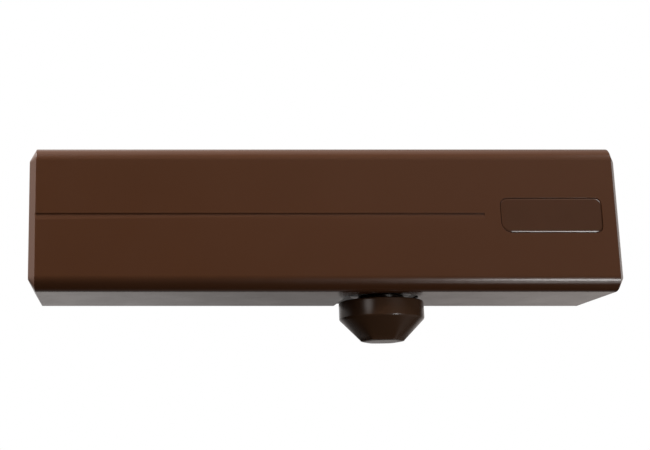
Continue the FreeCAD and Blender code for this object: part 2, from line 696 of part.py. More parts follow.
def make_bearing(side, rotation):
    """Bush, shaft seal, screwed cap and ring at one end of the spindle, drawn for the upper end."""
    inner = "journal_radius + running_gap"
    bush = turned(f"{side}_bush", [
        (inner, "bush_start"),
        ("bush_radius - seat_gap", "bush_start"),
        ("bush_radius - seat_gap", "bush_end"),
        (inner, "bush_end"),
    ])
    seat_top = "boss_top - bearing_cap_lip"
    seal = turned(f"{side}_shaft_seal", [
        (inner, "bush_end + seat_gap"),
        ("seal_radius - seat_gap", "bush_end + seat_gap"),
        ("seal_radius - seat_gap", f"{seat_top} - seat_gap"),
        (f"{inner} + seal_lip", f"{seat_top} - seat_gap"),
        (f"{inner} + seal_lip", "bush_end + seat_gap + seal_lip"),
        (inner, "bush_end + seat_gap + seal_lip"),
    ])
    step = "bearing_cap_radius - small_groove"
    cap = turned(f"{side}_bearing_cap", [
        ("seal_radius", "bush_end"),
        (step, "bush_end"),
        (step, "bush_end + small_groove"),
        ("bearing_cap_radius", "bush_end + small_groove"),
        ("bearing_cap_radius", "boss_top"),
        ("journal_radius + lip_gap", "boss_top"),
        ("journal_radius + lip_gap", seat_top),
        ("seal_radius", seat_top),
    ])
    slot = new_sketch(cap, "XY_Plane", f"{side}_driver_slot", "boss_top")
    rectangle(slot, "-bearing_cap_radius - cut_margin", "bearing_cap_radius + cut_margin",
              "-bearing_cap_slot / 2", "bearing_cap_slot / 2")
    extrude(cap, "Pocket", slot, "bearing_cap_slot_depth")
    seal_ring = ring(f"{side}_cap_oring", "bearing_cap_radius - small_groove / 2", "small_ring_wire")
    for piece in (bush, seal, cap):
        place(piece, "spindle_place", "-centre_depth", 0, rotation)
    sign = "" if side == "upper" else "-"
    place(seal_ring, "spindle_place", "-centre_depth", f"{sign}(bush_end + small_groove / 2)")
    return [bush, seal, cap, seal_ring]


def involute(base_radius, radius):
    """The angle that an involute from the base circle has turned through at this radius."""
    pressure = math.acos(min(1.0, base_radius / radius))
    return math.tan(pressure) - pressure


def polar(radius, angle):
    return Vector(radius * math.cos(angle), radius * math.sin(angle), 0)


def pinion_outline():
    """The face of the pinion's teeth: involute flanks, round tips and roots, one tooth pointing along +Y."""
    teeth = round(value("tooth_count"))
    pitch, tip, root = value("pitch_radius"), value("tip_radius"), value("root_radius")
    pressure = math.radians(value("tooth_angle"))
    base = pitch * math.cos(pressure)
    thickness = value("tooth_pitch") / 2 + 2 * value("shift_length") * math.tan(pressure)
    half_at_base = thickness / pitch / 2 + involute(base, pitch)
    half_at_tip = half_at_base - involute(base, tip)
    radii = [base + (tip - base) * (step / 6) ** 2 for step in range(7)]
    edges = []
    for tooth in range(teeth):
        middle = math.pi / 2 + 2 * math.pi * tooth / teeth
        following = middle + 2 * math.pi / teeth
        halves = [half_at_base - involute(base, radius) for radius in radii]
        rising = [polar(radius, middle - half) for radius, half in zip(radii, halves)]
        falling = [polar(radius, middle + half) for radius, half in zip(radii, halves)][::-1]
        foot_before = polar(root, middle - half_at_base)
        foot_after = polar(root, middle + half_at_base)
        next_foot = polar(root, following - half_at_base)
        for points in (rising, falling):
            curve = Part.BSplineCurve()
            curve.interpolate(points)
            edges.append(curve.toShape())
        edges.append(Part.LineSegment(foot_before, rising[0]).toShape())
        edges.append(Part.Arc(polar(tip, middle - half_at_tip), polar(tip, middle),
                              polar(tip, middle + half_at_tip)).toShape())
        edges.append(Part.LineSegment(falling[-1], foot_after).toShape())
        edges.append(Part.Arc(foot_after, polar(root, (middle + following) / 2), next_foot).toShape())
    return Part.Face(Part.Wire(Part.__sortEdges__(edges)))


def window_outline():
    """The face of the piston's window round the spindle axis, with the rack teeth along its +Y side."""
    pitch, line = value("tooth_pitch"), value("rack_line")
    tip, root = value("rack_tip"), value("rack_root")
    slope = math.tan(math.radians(value("tooth_angle")))
    half_at_line = pitch / 4 - value("tooth_backlash")
    half_at_tip = half_at_line - (line - tip) * slope
    half_at_root = half_at_line + (root - line) * slope
    left, right, side = -value("window_left"), value("window_right"), -value("window_side")
    corners = [Vector(right, root, 0), Vector(right, side, 0), Vector(left, side, 0), Vector(left, root, 0)]
    first = -round(value("rack_teeth_left"))
    for number in range(first, first + round(value("rack_teeth"))):
        middle = (number + 0.5) * pitch
        corners += [Vector(middle - half_at_root, root, 0), Vector(middle - half_at_tip, tip, 0)]
        corners += [Vector(middle + half_at_tip, tip, 0), Vector(middle + half_at_root, root, 0)]
    return Part.Face(Part.makePolygon(corners + corners[:1]))


def extruded(name, outline, half_length):
    """A flat outline drawn out both ways along Z."""
    flat = document.addObject("Part::Feature", f"{name}_outline")
    flat.Shape = outline
    solid = document.addObject("Part::Extrusion", name)
    solid.Base = flat
    solid.DirMode = "Custom"
    solid.Dir = Vector(0, 0, 1)
    solid.Solid = True
    bind(solid, LengthFwd=half_length, LengthRev=half_length)
    return solid


def square_bar(name, width, length, low):
    """A square bar round the Z axis, turned as the spindle's squares are with the door closed."""
    bar = new_part("Part::Box", name, Length=width, Width=width, Height=length)
    half = f"({width}) / 2"
    turn = "spindle_turn * 1deg"
    place(bar, f"{half} * (sin({turn}) - cos({turn}))", f"-{half} * (sin({turn}) + cos({turn}))", low,
          Rotation(Vector(0, 0, 1), value("spindle_turn")))
    bar.setExpression("Placement.Rotation.Angle", expression("spindle_turn * 1deg"))
    return bar


def make_pinion():
    """The spindle in one piece: teeth between the bushes, a journal and a square end both ways."""
    shafts = [extruded("pinion_teeth", pinion_outline(), "bush_start - end_play")]
    holes = []
    for end, journal_low, square_low, hole_low in (
        ("lower", "-journal_reach", "-spindle_reach", "-spindle_reach"),
        ("upper", "bush_start - end_play", "journal_reach - cut_margin", "spindle_reach - end_hole_depth"),
    ):
        journal = new_part("Part::Cylinder", f"{end}_journal", Radius="journal_radius",
                           Height="journal_reach - bush_start + end_play")
        place(journal, 0, 0, journal_low)
        square_length = "spindle_reach - journal_reach + cut_margin"
        bar = square_bar(f"{end}_square", "square_width", square_length, square_low)
        corners = new_part("Part::Cylinder", f"{end}_square_corners", Radius="square_corner",
                           Height=square_length)
        place(corners, 0, 0, square_low)
        hole = new_part("Part::Cylinder", f"{end}_end_hole", Radius="end_hole_radius",
                        Height="end_hole_depth")
        place(hole, 0, 0, hole_low)
        shafts += [journal, join("Part::MultiCommon", f"{end}_spindle_end", [bar, corners])]
        holes.append(hole)
    pinion = cut("pinion", join("Part::MultiFuse", "pinion_solid", shafts),
                 join("Part::MultiFuse", "spindle_end_holes", holes))
    pinion.Label = "pinion"
    place(pinion, "spindle_place", "-centre_depth")
    return pinion


def along_bore(name, radius, start, length, up="0"):
    """A cylinder that lies along the main bore."""
    bar = new_part("Part::Cylinder", name, Radius=radius, Height=length)
    place(bar, start, "-centre_depth", up, FROM_LEFT_END)
    return bar


def make_piston():
    """The piston with its rack window, flats that clear the bushes, a spring spigot and the one-way valve."""
    barrel = along_bore("piston_barrel", "piston_radius", "piston_left", "piston_right - piston_left")
    spigot = along_bore("piston_spigot", "spigot_radius", "piston_left - spigot_length", "2 * spigot_length")
    window = extruded("rack_window", window_outline(), "bore_radius + cut_margin")
    place(window, "spindle_place", "-centre_depth")
    passage = along_bore("check_passage", "check_passage_radius", "spindle_place + window_right - cut_margin",
                         "piston_right - spindle_place - window_right", "check_rise")
    pocket = along_bore("check_pocket", "check_pocket_radius", "piston_right - check_pocket_depth",
                        "check_pocket_depth + cut_margin", "check_rise")
    flats = []
    for name, low in (("lower_flat", "-bore_radius"), ("upper_flat", "bush_start - flat_gap")):
        flat = new_part("Part::Box", name, Length="window_left + window_right", Width="2 * bore_radius",
                        Height="bore_radius - bush_start + flat_gap")
        place(flat, "spindle_place - window_left", "-centre_depth - bore_radius", low)
        flats.append(flat)
    piston = cut("piston", join("Part::MultiFuse", "piston_solid", [barrel, spigot]),
                 join("Part::MultiFuse", "piston_cuts", [window, passage, pocket, *flats]))
    piston.Label = "piston"
    return piston


def make_check_valve():
    """The ball of the one-way valve and the drilled plug that keeps it in its pocket."""
    ball = new_part("Part::Sphere", "check_ball", Radius="check_ball_radius")
    ball.Label = "check_ball"
    seat = "piston_right - check_pocket_depth"
    place(ball, f"{seat} + sqrt(check_ball_radius ^ 2 - check_passage_radius ^ 2) + check_play",
          "-centre_depth", "check_rise")
    retainer = turned("check_ball_retainer", [
        ("retainer_hole_radius", "0"),
        ("check_pocket_radius - seat_gap", "0"),
        ("check_pocket_radius - seat_gap", "retainer_length"),
        ("retainer_hole_radius", "retainer_length"),
    ])
    place(retainer, "piston_right", "-centre_depth", "check_rise", FROM_RIGHT_END)
    return [ball, retainer]


def make_spring(name):
    """A coil spring between the spring seat and the piston, its wire swept along a helix."""
    wire = f"{name}_wire"
    body = new_body(name)
    sketch = new_sketch(body, "XZ_Plane", f"{name}_section")
    circle(sketch, f"{name}_radius", f"{wire} / 2", f"{wire} / 2")
    coil = body.newObject("PartDesign::AdditiveHelix", f"{name}_coil")
    coil.Profile = sketch
    coil.ReferenceAxis = (sketch, ["V_Axis"])
    coil.Mode = "height-turns-angle"
    bind(coil, Height=f"spring_room - {wire}", Turns=f"{name}_turns")
    body.Tip = coil
    place(body, "seat_face + spring_end_gap", "-centre_depth", 0, FROM_LEFT_END)
    document.recompute()
    return body


def make_spring_seat():
    """The travelling nut on the adjusting screw that the springs bear on."""
    hole = "screw_radius + running_gap"
    seat = turned("spring_seat", [
        (hole, "0"),
        ("bore_radius - seat_rim_gap", "0"),
        ("bore_radius - seat_rim_gap", "seat_thickness"),
        ("spigot_radius", "seat_thickness"),
        ("spigot_radius", "seat_thickness + seat_hub"),
        (hole, "seat_thickness + seat_hub"),
    ])
    place(seat, "seat_place", "-centre_depth", 0, FROM_LEFT_END)
    return seat


def make_adjusting_screw():
    """The screw that moves the spring seat, held in the left plug by its collar, and its sealing ring."""
    ring_radius = "screw_radius + running_gap - seat_gap - small_ring_wire / 2"
    groove_radius = f"{ring_radius} - small_ring_wire / 2 - seat_gap"
    groove_end = "screw_groove_place + small_groove"
    screw = turned("adjusting_screw", [
        ("0", "screw_inset"),
        ("screw_radius", "screw_inset"),
        ("screw_radius", "screw_groove_place"),
        (groove_radius, "screw_groove_place"),
        (groove_radius, groove_end),
        ("screw_radius", groove_end),
        ("screw_radius", "plug_reach + collar_play"),
        ("collar_radius", "plug_reach + collar_play"),
        ("collar_radius", "plug_reach + screw_collar_end"),
        ("screw_radius", "plug_reach + screw_collar_end"),
        ("screw_radius", "screw_length"),
        ("0", "screw_length"),
    ])
    socket = new_sketch(screw, "XY_Plane", "hexagon_socket", "screw_inset")
    hexagon(socket, "socket_width")
    extrude(screw, "Pocket", socket, "socket_depth", backwards=True)
    place(screw, "-barrel_half", "-centre_depth", 0, FROM_LEFT_END)
    seal = ring("adjusting_screw_oring", ring_radius, "small_ring_wire")
    place(seal, "-barrel_half + screw_groove_place + small_groove / 2", "-centre_depth", 0, FROM_LEFT_END)
    return [screw, seal]


def make_valve(name, end, side):
    """A regulating screw with a driver slot, a sealing ring and a needle that reaches into the channel."""
    ring_radius = "valve_radius + thread_gap - seat_gap - small_ring_wire / 2"
    groove_radius = f"{ring_radius} - small_ring_wire / 2 - seat_gap"
    groove_end = "valve_groove_place + small_groove"
    body_end = "valve_inset + valve_body - seat_gap"
    valve = turned(name, [
        ("0", "valve_inset"),
        ("valve_radius", "valve_inset"),
        ("valve_radius", "valve_groove_place"),
        (groove_radius, "valve_groove_place"),
        (groove_radius, groove_end),
        ("valve_radius", groove_end),
        ("valve_radius", body_end),
        ("needle_radius", body_end),
        ("needle_tip_radius", f"{body_end} + needle_length"),
        ("0", f"{body_end} + needle_length"),
    ])
    slot = new_sketch(valve, "XY_Plane", f"{name}_slot", "valve_inset")
    rectangle(slot, "-valve_radius - cut_margin", "valve_radius + cut_margin",
              "-driver_slot_width / 2", "driver_slot_width / 2")
    extrude(valve, "Pocket", slot, "driver_slot_depth", backwards=True)
    sign, rotation = ("", FROM_RIGHT_END) if end == "right" else ("-", FROM_LEFT_END)
    place(valve, f"{sign}barrel_half", "-valve_depth", f"{side}valve_rise", rotation)
    seal = ring(f"{name}_oring", ring_radius, "small_ring_wire")
    place(seal, f"{sign}(barrel_half - valve_groove_place - small_groove / 2)", "-valve_depth",
          f"{side}valve_rise", rotation)
    return [valve, seal]


def facet_loft(name, upper, lower):
    """A solid with flat sides between two outlines."""
    loft = document.addObject("Part::Loft", name)
    loft.Sections = [upper, lower]
    loft.Solid = True
    loft.Ruled = True
    return loft


def cap_hexagon(name, radius, up):
    """A hexagon round the cap's axis with one side to the front."""
    outline = new_part("Part::RegularPolygon", name, Circumradius=radius)
    outline.Polygon = 6
    place(outline, 0, 0, up)
    return outline


def make_spindle_cap():
    """The cap on the spindle's lower end: a round band, six facets and a flat end, with a square socket and a
    peg inside that hold it on the spindle."""
    band_low = "-cap_top - cap_band"
    facet_low = f"{band_low} - cap_facet"
    end_low = f"{facet_low} - cap_end"
    band = new_part("Part::Cylinder", "cap_band_solid", Radius="cap_radius", Height="cap_band")
    place(band, 0, 0, band_low)
    rim = new_part("Part::Circle", "cap_rim", Radius="cap_radius")
    place(rim, 0, 0, band_low)
    foot = cap_hexagon("cap_foot", "cap_facet_radius", facet_low)
    end = cap_hexagon("cap_end_outline", "cap_end_radius", end_low)
    foot_again = cap_hexagon("cap_foot_again", "cap_facet_radius", facet_low)
    facets = facet_loft("cap_facets", rim, foot)
    rounded = facet_loft("cap_rounded_end", foot_again, end)
    outside = join("Part::MultiFuse", "cap_outside", [band, facets, rounded])
    outside.Placement = Placement(Vector(), Rotation(Vector(0, 0, 1), value("spindle_turn")))
    outside.setExpression("Placement.Rotation.Angle", expression("spindle_turn * 1deg"))
    floor = "spindle_reach + cap_socket_gap"
    hollow = new_part("Part::Cylinder", "cap_hollow_solid", Radius="cap_radius - cap_wall",
                      Height="cap_hollow + cut_margin")
    place(hollow, 0, 0, "-cap_top - cap_hollow")
    boss = new_part("Part::Cylinder", "cap_boss", Radius="cap_socket_radius",
                    Height="cap_top + cap_hollow + cut_margin - boss_top - cap_boss_gap")
    place(boss, 0, 0, "-cap_top - cap_hollow - cut_margin")
    shell = cut("cap_shell", join("Part::MultiFuse", "cap_with_boss", [outside, boss]),
                cut("cap_ring_hollow", hollow, boss))
    square = square_bar("cap_socket_square", "square_width + 2 * cap_socket_gap", f"{floor} - boss_top",
                        f"-({floor})")
    corners = new_part("Part::Cylinder", "cap_socket_corners", Radius="square_corner + cap_socket_gap",
                       Height=f"{floor} - boss_top")
    place(corners, 0, 0, f"-({floor})")
    socket = join("Part::MultiCommon", "cap_socket", [square, corners])
    peg = new_part("Part::Cylinder", "cap_peg", Radius="end_hole_radius - cap_peg_gap",
                   Height="cap_peg_length + cap_socket_gap + cut_margin")
    place(peg, 0, 0, f"-({floor}) - cut_margin")
    cap = join("Part::MultiFuse", "spindle_cap", [cut("cap_with_socket", shell, socket), peg])
    cap.Label = "spindle_cap"
    place(cap, "spindle_place", "-centre_depth")
    return cap


def make_pieces():
    pieces = [make_cover(), make_badge_plate(), make_spindle_cap(), make_housing(), make_port_balls()]
    pieces += make_end_plugs()
    pieces += make_bearing("upper", UPRIGHT)
    pieces += make_bearing("lower", UPSIDE_DOWN)
    pieces += [make_pinion(), make_piston()]
    pieces += make_check_valve()
    for name in ("outer_spring", "inner_spring"):
        pieces.append(make_spring(name))
    pieces.append(make_spring_seat())
    pieces += make_adjusting_screw()
    for name, end, side, far_port in VALVES:
        pieces += make_valve(name, end, side)
    return pieces


def check_and_write(pieces):
    """Stop if any object failed or any piece isn't a sound solid, then write each piece to its file."""
    document.recompute()
    failed = [thing.Name for thing in document.Objects if {"Invalid", "Error"} & set(thing.State)]
    if failed:
        raise RuntimeError(f"these objects failed: {failed}")
    for piece in pieces:
        if piece.Shape.isNull() or not piece.Shape.isValid() or not piece.Shape.Solids:
            raise RuntimeError(f"{piece.Label} is not a sound solid")
    os.makedirs("parts", exist_ok=True)
    for piece in pieces:
        piece.Shape.exportStep(f"parts/{piece.Label}.step")
        print(f"{piece.Label}: {len(piece.Shape.Solids)} solid(s), {piece.Shape.Volume:.1f} mm3")


check_and_write(make_pieces())
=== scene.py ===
"""A slim overhead door closer: a moulded cover clipped over a rack and pinion works, with a spindle cap below.

The wall is the plane y = 0 and the cover faces -y. Shapes are drawn in millimetres and made metres when finished.
"""

import json
import math

import bmesh
import bpy
from mathutils import Matrix, Vector


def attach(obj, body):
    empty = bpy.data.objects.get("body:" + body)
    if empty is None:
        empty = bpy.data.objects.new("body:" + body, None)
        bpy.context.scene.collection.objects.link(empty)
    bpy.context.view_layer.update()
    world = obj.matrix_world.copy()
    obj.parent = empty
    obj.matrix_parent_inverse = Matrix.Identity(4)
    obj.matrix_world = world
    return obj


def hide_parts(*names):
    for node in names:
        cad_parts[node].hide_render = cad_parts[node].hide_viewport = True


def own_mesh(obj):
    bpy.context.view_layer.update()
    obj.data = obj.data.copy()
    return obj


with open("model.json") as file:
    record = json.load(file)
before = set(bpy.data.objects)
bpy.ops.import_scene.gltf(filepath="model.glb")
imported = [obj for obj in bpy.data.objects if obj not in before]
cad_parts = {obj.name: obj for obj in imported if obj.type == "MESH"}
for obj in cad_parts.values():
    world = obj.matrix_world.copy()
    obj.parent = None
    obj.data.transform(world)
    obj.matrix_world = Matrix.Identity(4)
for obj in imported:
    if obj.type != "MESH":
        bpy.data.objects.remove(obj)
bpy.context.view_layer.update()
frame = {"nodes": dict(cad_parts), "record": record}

MM = 0.001

# Cover
COVER_HALF = 121.5
COVER_RISE = 30.0
COVER_DEPTH = 48.0
COVER_WALL = 2.2
COVER_END_WALL = 3.6
COVER_EDGE = 6.0
BEVEL_LENGTH = 3.0
BEVEL_INSET = 5.0
INNER_HALF = COVER_HALF - COVER_END_WALL
INNER_RISE = COVER_RISE - COVER_WALL

# Low ribs inside the cover that grip the housing: above and below it, and at its ends
RIB_WIDTH = 1.6
RIB_STAND = 0.65
RIB_BACK = -0.3
RIB_PLACE = 92.0
RIB_FRONT = -16.0
END_RIB_PLACE = 8.0
END_RIB_FRONT = -10.0

# Spindle, its cut-outs in the cover and its cap
SPINDLE_X = 26.3
SPINDLE_Y = -24.0
SPINDLE_TURN = math.radians(-9)
SLOT_RADIUS = 15.5
SLOT_CHAMFER = 0.5
SLOT_REACH = 40.0
CAP_TOP = -31.66
CAP_RADIUS = 17.55
CAP_RIM = 0.9
CAP_WALL = 2.0
CAP_HOLLOW = 7.0
CAP_BAND_HEIGHT = 7.35
CAP_FACET_HEIGHT = 8.8
CAP_END_ROUND = 0.6
SOCKET_RADIUS = 9.6
SOCKET_MOUTH = -29.3
SOCKET_FLOOR = -33.4
PEG_RADIUS = 2.4

# Front of the cover
CHANNEL_END = 65.0
CHANNEL_TOP = 1.7
CHANNEL_WIDTH = 2.9
CHANNEL_CUT = 0.45
BADGE_LEFT = 71.65
BADGE_RIGHT = 113.15
BADGE_LOW = -6.5
BADGE_HIGH = 8.0
BADGE_CORNER = 2.8
BADGE_KEY_CORNER = 4.4
BADGE_GAP = 0.25
BADGE_THICKNESS = 1.0
BADGE_BEVEL = 0.17
BADGE_BEVEL_WIDTH = 0.5

# Edges sharper than this are rounded on the cover: by more on the moulding, by less on the channel and the pocket
ROUNDED_FROM = math.radians(28)
MOULD_ROUND = 0.3
FINE_ROUND = 0.1

# Springs
SPRING_LEFT = -75.5
SPRING_RIGHT = -1.75
SPRING_STEPS = 32

# Floor, in metres: its height, and where it starts and ends to fade into the white
FLOOR_HEIGHT = -0.25
FADE_START = 0.35
FADE_END = 0.85


def block(low, high):
    """A box between two corners."""
    shape = bmesh.new()
    bmesh.ops.create_cube(shape, size=1.0)
    size = [b - a for a, b in zip(low, high)]
    bmesh.ops.scale(shape, vec=size, verts=shape.verts)
    centre = [(a + b) / 2 for a, b in zip(low, high)]
    bmesh.ops.translate(shape, vec=centre, verts=shape.verts)
    return shape


def prism(corners, length):
    """A flat outline drawn out along a vector."""
    shape = bmesh.new()
    outline = shape.faces.new([shape.verts.new(corner) for corner in corners])
    made = bmesh.ops.extrude_face_region(shape, geom=[outline])
    far = [item for item in made["geom"] if isinstance(item, bmesh.types.BMVert)]
    bmesh.ops.translate(shape, vec=length, verts=far)
    bmesh.ops.recalc_face_normals(shape, faces=shape.faces)
    return shape


def near(value, other):
    """Whether two places in millimetres are the same."""
    return abs(value - other) < 1e-3


def edges_where(shape, wanted):
    """The edges whose two ends both pass a test."""
    return [edge for edge in shape.edges if all(wanted(vert.co) for vert in edge.verts)]


def round_edges(shape, edges, radius, segments):
    """Round some edges of a shape."""
    bmesh.ops.bevel(shape, geom=edges, offset=radius, offset_type="OFFSET", segments=segments, profile=0.5,
                    affect="EDGES", clamp_overlap=True, material=-1)


def finished(shape, name):
    """Turn a shape into an object in metres, with soft shading and crisp corners."""
    bmesh.ops.scale(shape, vec=(MM, MM, MM), verts=shape.verts)
    mesh = bpy.data.meshes.new(name)
    shape.to_mesh(mesh)
    shape.free()
    mesh.shade_smooth()
    mesh.set_sharp_from_angle(angle=math.radians(38))
    piece = bpy.data.objects.new(name, mesh)
    bpy.context.scene.collection.objects.link(piece)
    return piece


def weigh_normals(piece):
    """Keep the flat faces flat beside the small rounded edges."""
    weighted = piece.modifiers.new("weighted_normals", "WEIGHTED_NORMAL")
    weighted.keep_sharp = True
    weighted.weight = 80


def loose_object(shape, name):
    """Turn a shape into an object as it is."""
    mesh = bpy.data.meshes.new(name)
    shape.to_mesh(mesh)
    shape.free()
    thing = bpy.data.objects.new(name, mesh)
    bpy.context.scene.collection.objects.link(thing)
    return thing


def carved(shape, steps):
    """A shape after cutting and joining others, each given as a kind and a shape."""
    base = loose_object(shape, "carved_base")
    tools = []
    for number, (kind, tool_shape) in enumerate(steps):
        tool = loose_object(tool_shape, f"carving_tool_{number}")
        carving = base.modifiers.new(f"carving_{number}", "BOOLEAN")
        carving.operation = kind
        carving.solver = "EXACT"
        carving.object = tool
        tools.append(tool)
    bpy.context.view_layer.update()
    result = bpy.data.meshes.new_from_object(base.evaluated_get(bpy.context.evaluated_depsgraph_get()))
    for thing in [base, *tools]:
        mesh = thing.data
        bpy.data.objects.remove(thing)
        bpy.data.meshes.remove(mesh)
    after = bmesh.new()
    after.from_mesh(result)
    bpy.data.meshes.remove(result)
    bmesh.ops.remove_doubles(after, verts=after.verts, dist=0.002)
    bmesh.ops.dissolve_degenerate(after, edges=after.edges, dist=0.002)
    return after


def round_section(low, high, radius, front, segments=10):
    """A box whose two long edges along the front are rounded."""
    shape = block(low, high)
    long_edges = [edge for edge in edges_where(shape, lambda co: near(co.y, front))
                  if near(abs(edge.verts[0].co.x - edge.verts[1].co.x), high[0] - low[0])]
    round_edges(shape, long_edges, radius, segments)
    return shape


def cover_outside():
    """The outside of the cover: rounded long edges, bevelled ends, closed at the back."""
    reach = COVER_HALF - BEVEL_LENGTH
    shape = round_section((-reach, -COVER_DEPTH, -COVER_RISE), (reach, BEVEL_INSET + 2, COVER_RISE), COVER_EDGE,
                          -COVER_DEPTH)
    ends = [face for face in shape.faces if abs(face.normal.x) > 0.9]
    for end in ends:
        bmesh.ops.inset_region(shape, faces=[end], thickness=BEVEL_INSET, depth=BEVEL_LENGTH,
                               use_even_offset=True, use_boundary=True)
    bmesh.ops.bisect_plane(shape, geom=shape.verts[:] + shape.edges[:] + shape.faces[:], plane_co=(0, 0, 0),
                           plane_no=(0, 1, 0), clear_outer=True)
    bmesh.ops.contextual_create(shape, geom=[edge for edge in shape.edges if edge.is_boundary])
    bmesh.ops.recalc_face_normals(shape, faces=shape.faces)
    return shape


def badge_prism(inset, front, back):
    """The outline of the badge plate drawn from front to back, its lower left corner rounder than the others."""
    shape = bmesh.new()
    left, right = BADGE_LEFT + inset, BADGE_RIGHT - inset
    low, high = BADGE_LOW + inset, BADGE_HIGH - inset
    corners = [(left, front, low), (right, front, low), (right, front, high), (left, front, high)]
    shape.faces.new([shape.verts.new(corner) for corner in corners])
    key = [vert for vert in shape.verts if near(vert.co.x, left) and near(vert.co.z, low)]
    others = [vert for vert in shape.verts if vert not in key]
    for verts, radius, segments in ((others, BADGE_CORNER - inset, 8), (key, BADGE_KEY_CORNER - inset, 12)):
        bmesh.ops.bevel(shape, geom=verts, offset=radius, offset_type="OFFSET", segments=segments, profile=0.5,
                        affect="VERTICES", clamp_overlap=True, material=-1)
    made = bmesh.ops.extrude_face_region(shape, geom=shape.faces[:])
    far = [item for item in made["geom"] if isinstance(item, bmesh.types.BMVert)]
    bmesh.ops.translate(shape, vec=(0, back - front, 0), verts=far)
    bmesh.ops.recalc_face_normals(shape, faces=shape.faces)
    return shape


def slot_round():
    """The round end of the cut-outs for the spindle."""
    shape = bmesh.new()
    bmesh.ops.create_cone(shape, cap_ends=True, segments=72, radius1=SLOT_RADIUS, radius2=SLOT_RADIUS,
                          depth=2 * SLOT_REACH)
    bmesh.ops.translate(shape, vec=(SPINDLE_X, SPINDLE_Y, 0), verts=shape.verts)
    return shape


def slot_mouth():
    """The straight part of the cut-outs, wider where it leaves the back of the cover."""
    wide = SLOT_RADIUS + SLOT_CHAMFER + 1
    outline = [(-SLOT_RADIUS, SPINDLE_Y), (SLOT_RADIUS, SPINDLE_Y), (SLOT_RADIUS, -SLOT_CHAMFER), (wide, 1),
               (-wide, 1), (-SLOT_RADIUS, -SLOT_CHAMFER)]
    return prism([(SPINDLE_X + along, out, -SLOT_REACH) for along, out in outline], (0, 0, 2 * SLOT_REACH))


def grip_ribs():
    """Low ribs inside the cover, each sunk a millimetre into its wall."""
    half = RIB_WIDTH / 2
    ribs = []
    for along in (-RIB_PLACE, RIB_PLACE):
        for side in (-1, 1):
            low, high = sorted((side * (INNER_RISE - RIB_STAND), side * (INNER_RISE + 1)))
            ribs.append(block((along - half, RIB_FRONT, low), (along + half, RIB_BACK, high)))
    for side in (-1, 1):
        for up in (-END_RIB_PLACE, END_RIB_PLACE):
            left, right = sorted((side * (INNER_HALF - RIB_STAND), side * (INNER_HALF + 1)))
            ribs.append(block((left, END_RIB_FRONT, up - half), (right, RIB_BACK, up + half)))
    return ribs


def make_cover():
    """The moulded shell: hollow, with its cut-outs, the channel, the badge pocket and the ribs."""
    inner_front = COVER_WALL - COVER_DEPTH
    cavity = round_section((-INNER_HALF, inner_front, -INNER_RISE), (INNER_HALF, 5, INNER_RISE),
                           COVER_EDGE - COVER_WALL, inner_front)
    foot = CHANNEL_TOP - CHANNEL_WIDTH
    section = [(-1, CHANNEL_TOP), (CHANNEL_CUT, CHANNEL_TOP), (0, foot), (-1, foot)]
    channel = prism([(-COVER_HALF - 2, deep - COVER_DEPTH, up) for deep, up in section],
                    (CHANNEL_END + COVER_HALF + 2, 0, 0))
    pocket = badge_prism(0, -COVER_DEPTH - 1, BADGE_THICKNESS - COVER_DEPTH)
    steps = [("DIFFERENCE", tool) for tool in (cavity, slot_round(), slot_mouth(), channel, pocket)]
    steps += [("UNION", rib) for rib in grip_ribs()]
    shape = carved(cover_outside(), steps)

    def is_fine(edge):
        """Whether an edge belongs to the channel or the badge pocket."""
        places = [vert.co for vert in edge.verts]
        if any(place.y >= 1.2 - COVER_DEPTH for place in places):
            return False
        return all(foot - 0.1 < place.z < BADGE_HIGH + 0.1
                   or place.x > BADGE_LEFT - 0.1 and place.z > BADGE_LOW - 0.1 for place in places)

    sharp = [edge for edge in shape.edges if edge.is_manifold and edge.calc_face_angle(0) > ROUNDED_FROM]
    small = [edge for edge in sharp if is_fine(edge)]
    large = [edge for edge in sharp if not is_fine(edge)]
    round_edges(shape, large, MOULD_ROUND, 3)
    round_edges(shape, [edge for edge in small if edge.is_valid], FINE_ROUND, 2)
    cover = finished(shape, "moulded_cover")
    weigh_normals(cover)
    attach(cover, "cover")
    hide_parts("cover")
    return cover


def make_badge_plate():
    """The blank plate in its pocket, its front raised a little inside a narrow bevel."""
    shape = badge_prism(BADGE_GAP, BADGE_BEVEL - COVER_DEPTH, BADGE_THICKNESS - COVER_DEPTH)
    front = [face for face in shape.faces if face.normal.y < -0.9]
    bmesh.ops.inset_region(shape, faces=front, thickness=BADGE_BEVEL_WIDTH, depth=BADGE_BEVEL,
                           use_even_offset=True)
    rim = edges_where(shape, lambda co: near(co.y, -COVER_DEPTH) or near(co.y, BADGE_BEVEL - COVER_DEPTH))
    rim = [edge for edge in rim if edge.calc_face_angle(0) > math.radians(12)]
    round_edges(shape, rim, 0.08, 2)
    plate = finished(shape, "blank_badge_plate")
    weigh_normals(plate)
    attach(plate, "cover")
    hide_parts("badge_plate")
    return plate


def ring_of(radius):
    """A round outline, as a radius for each angle."""
    return lambda angle: radius


def polygon_of(sides, apothem, corner, turn, limit=1e9):
    """An outline with flat sides and rounded corners, turned down to a limit.

    apothem is how far the sides are out, corner the corners' radius, and turn where the middle of one side points.
    """
    half = math.pi / sides
    flat_half = (apothem - corner) * math.tan(half)
    centre = (apothem - corner) / math.cos(half)

    def radius(angle):
        off = abs((angle - turn + half) % (2 * half) - half)
        if math.tan(off) * apothem <= flat_half:
            return min(limit, apothem / math.cos(off))
        rest = half - off
        reach = centre * math.cos(rest) + math.sqrt(max(0, corner ** 2 - (centre * math.sin(rest)) ** 2))
        return min(limit, reach)

    return radius


def mixed(one, other, share):
    """An outline between two others."""
    return lambda angle: one(angle) * (1 - share) + other(angle) * share


